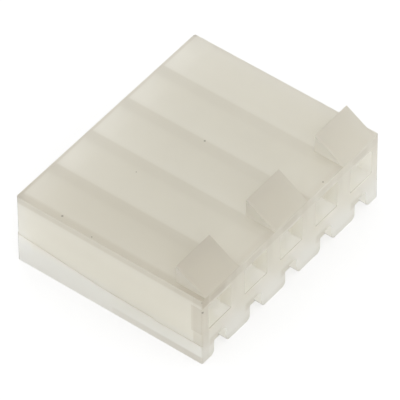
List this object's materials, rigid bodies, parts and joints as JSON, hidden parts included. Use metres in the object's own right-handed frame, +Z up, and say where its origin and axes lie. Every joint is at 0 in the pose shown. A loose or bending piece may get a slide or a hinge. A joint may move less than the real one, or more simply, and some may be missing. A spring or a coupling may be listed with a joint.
{
  "type": "wire to board connector housing",
  "caption": "Translucent moulded nylon connector housing: a row of crimp-terminal cavities, notched mating face and wedge locking ramps on top.",
  "frame": {"origin": "centre of the bounding box on the underside that the housing rests on", "axes": "+X along the row of circuits, -Y the mating direction with the wires entering at +Y, +Z up to the face that carries the locking ramps"},
  "size_m": [0.0198, 0.016, 0.0077],
  "materials": {
    "nylon": "translucent natural nylon, satin, off-white"
  },
  "bodies": {
    "root": {"housing": "nylon"}
  },
  "joints": []
}
